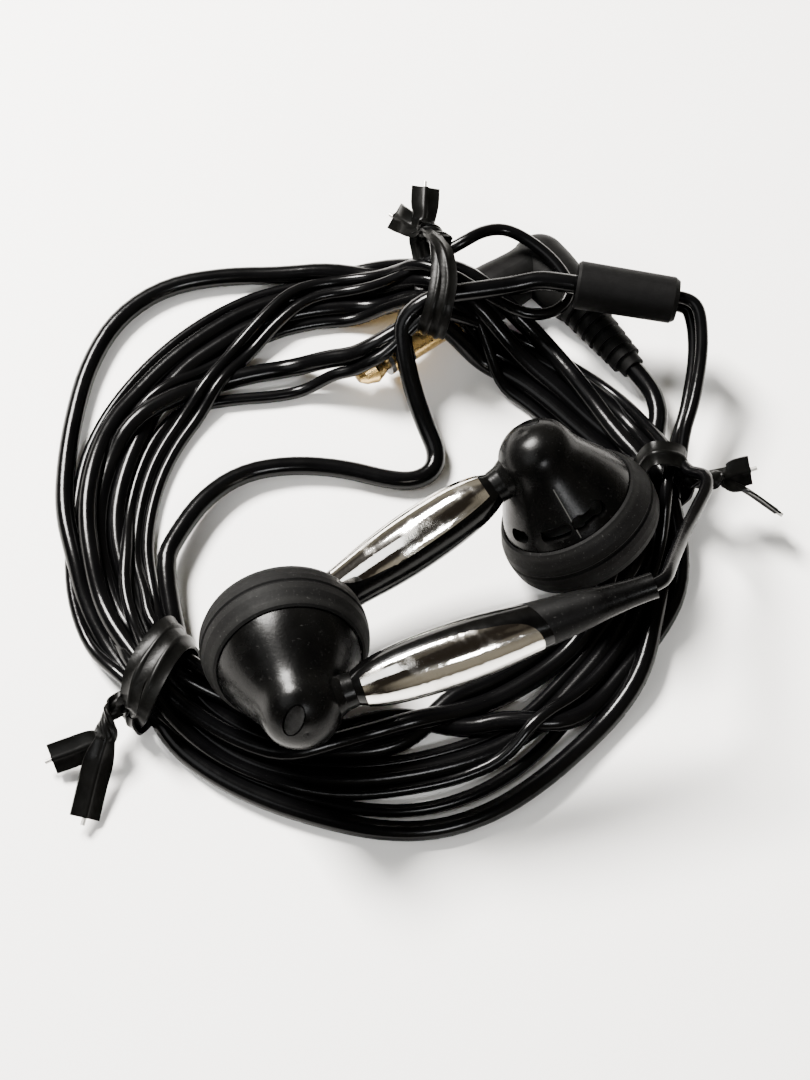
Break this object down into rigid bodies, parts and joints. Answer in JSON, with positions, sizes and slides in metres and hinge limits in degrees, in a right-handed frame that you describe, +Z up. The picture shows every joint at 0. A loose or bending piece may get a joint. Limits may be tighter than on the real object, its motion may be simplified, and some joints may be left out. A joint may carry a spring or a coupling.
{
  "type": "wired earphones",
  "caption": "Wired earphones with slim stems and rubber ear rings, their forked cord and angled 3.5 mm plug wound into a coil that twist ties hold.",
  "frame": {"origin": "on the table, below the middle of the box round the two earbuds", "axes": "+Z up, +X along the longest extent of the two earbuds as they lie"},
  "size_m": [0.0742, 0.0693, 0.0192],
  "materials": {
    "housing_plastic": "satin",
    "port_lens": "gloss",
    "stem_gloss": "gloss",
    "plate_chrome": "mirror polished",
    "relief_rubber": "matte",
    "ring_rubber": "matte",
    "grille_steel": "satin black",
    "cloth": "woven",
    "film": "thin clear amber film",
    "copper": "enamelled copper wire",
    "driver_steel": "plated",
    "magnet_alloy": "nickel plated",
    "board": "coated laminate",
    "felt": "felt",
    "cord_pvc": "soft gloss",
    "plug_gold": "gold plated",
    "plug_insulator": "moulded",
    "moulded_pvc": "satin",
    "splitter_rubber": "matte",
    "tie_strip": "gloss",
    "tie_wire": "bare steel wire"
  },
  "bodies": {
    "earphones": {"left_rear_housing": "housing_plastic", "left_nose_port": "port_lens", "left_stem": "stem_gloss", "left_stem_plate": "plate_chrome", "left_strain_relief": "relief_rubber", "left_ear_ring": "ring_rubber", "left_front_grille": "grille_steel", "left_front_cloth": "cloth", "left_surround": "film", "left_top_plate": "driver_steel", "left_magnet": "magnet_alloy", "left_yoke": "driver_steel", "left_driver_frame": "housing_plastic", "left_terminal_board": "board", "left_vent_felt": "felt", "right_rear_housing": "housing_plastic", "right_nose_port": "port_lens", "right_stem": "stem_gloss", "right_stem_plate": "plate_chrome", "right_strain_relief": "relief_rubber", "right_ear_ring": "ring_rubber", "right_front_grille": "grille_steel", "right_front_cloth": "cloth", "right_surround": "film", "right_top_plate": "driver_steel", "right_magnet": "magnet_alloy", "right_yoke": "driver_steel", "right_driver_frame": "housing_plastic", "right_terminal_board": "board", "right_vent_felt": "felt", "cord_coil": "cord_pvc", "trunk_lead": "cord_pvc", "trunk_inner_loop": "cord_pvc", "left_branch_lead": "cord_pvc", "right_branch_lead": "cord_pvc", "left_bud_lead": "cord_pvc", "right_bud_lead": "cord_pvc", "right_inner_lead": "cord_pvc", "plug_tip": "plug_gold", "plug_ring": "plug_gold", "plug_sleeve": "plug_gold", "plug_tip_insulator": "plug_insulator", "plug_ring_insulator": "plug_insulator", "plug_core": "plug_insulator", "plug_body": "moulded_pvc", "plug_relief": "moulded_pvc", "splitter": "splitter_rubber", "tie_top": "tie_strip", "tie_left": "tie_strip", "tie_right": "tie_strip", "tie_top_wire": "tie_wire", "tie_left_wire": "tie_wire", "tie_right_wire": "tie_wire"},
    "left_diaphragm_assembly": {"left_diaphragm": "film", "left_voice_coil": "copper"},
    "right_diaphragm_assembly": {"right_diaphragm": "film", "right_voice_coil": "copper"}
  },
  "joints": [
    {"name": "left_diaphragm_travel", "type": "slide", "parent": "earphones", "child": "left_diaphragm_assembly", "axis": [0.2099, -0.8707, 0.4448], "range_m": [-0.00025, 0.00025], "stiffness_N_per_m": 350},
    {"name": "right_diaphragm_travel", "type": "slide", "parent": "earphones", "child": "right_diaphragm_assembly", "axis": [-0.4808, 0.3619, 0.7987], "range_m": [-0.00025, 0.00025], "stiffness_N_per_m": 350}
  ]
}
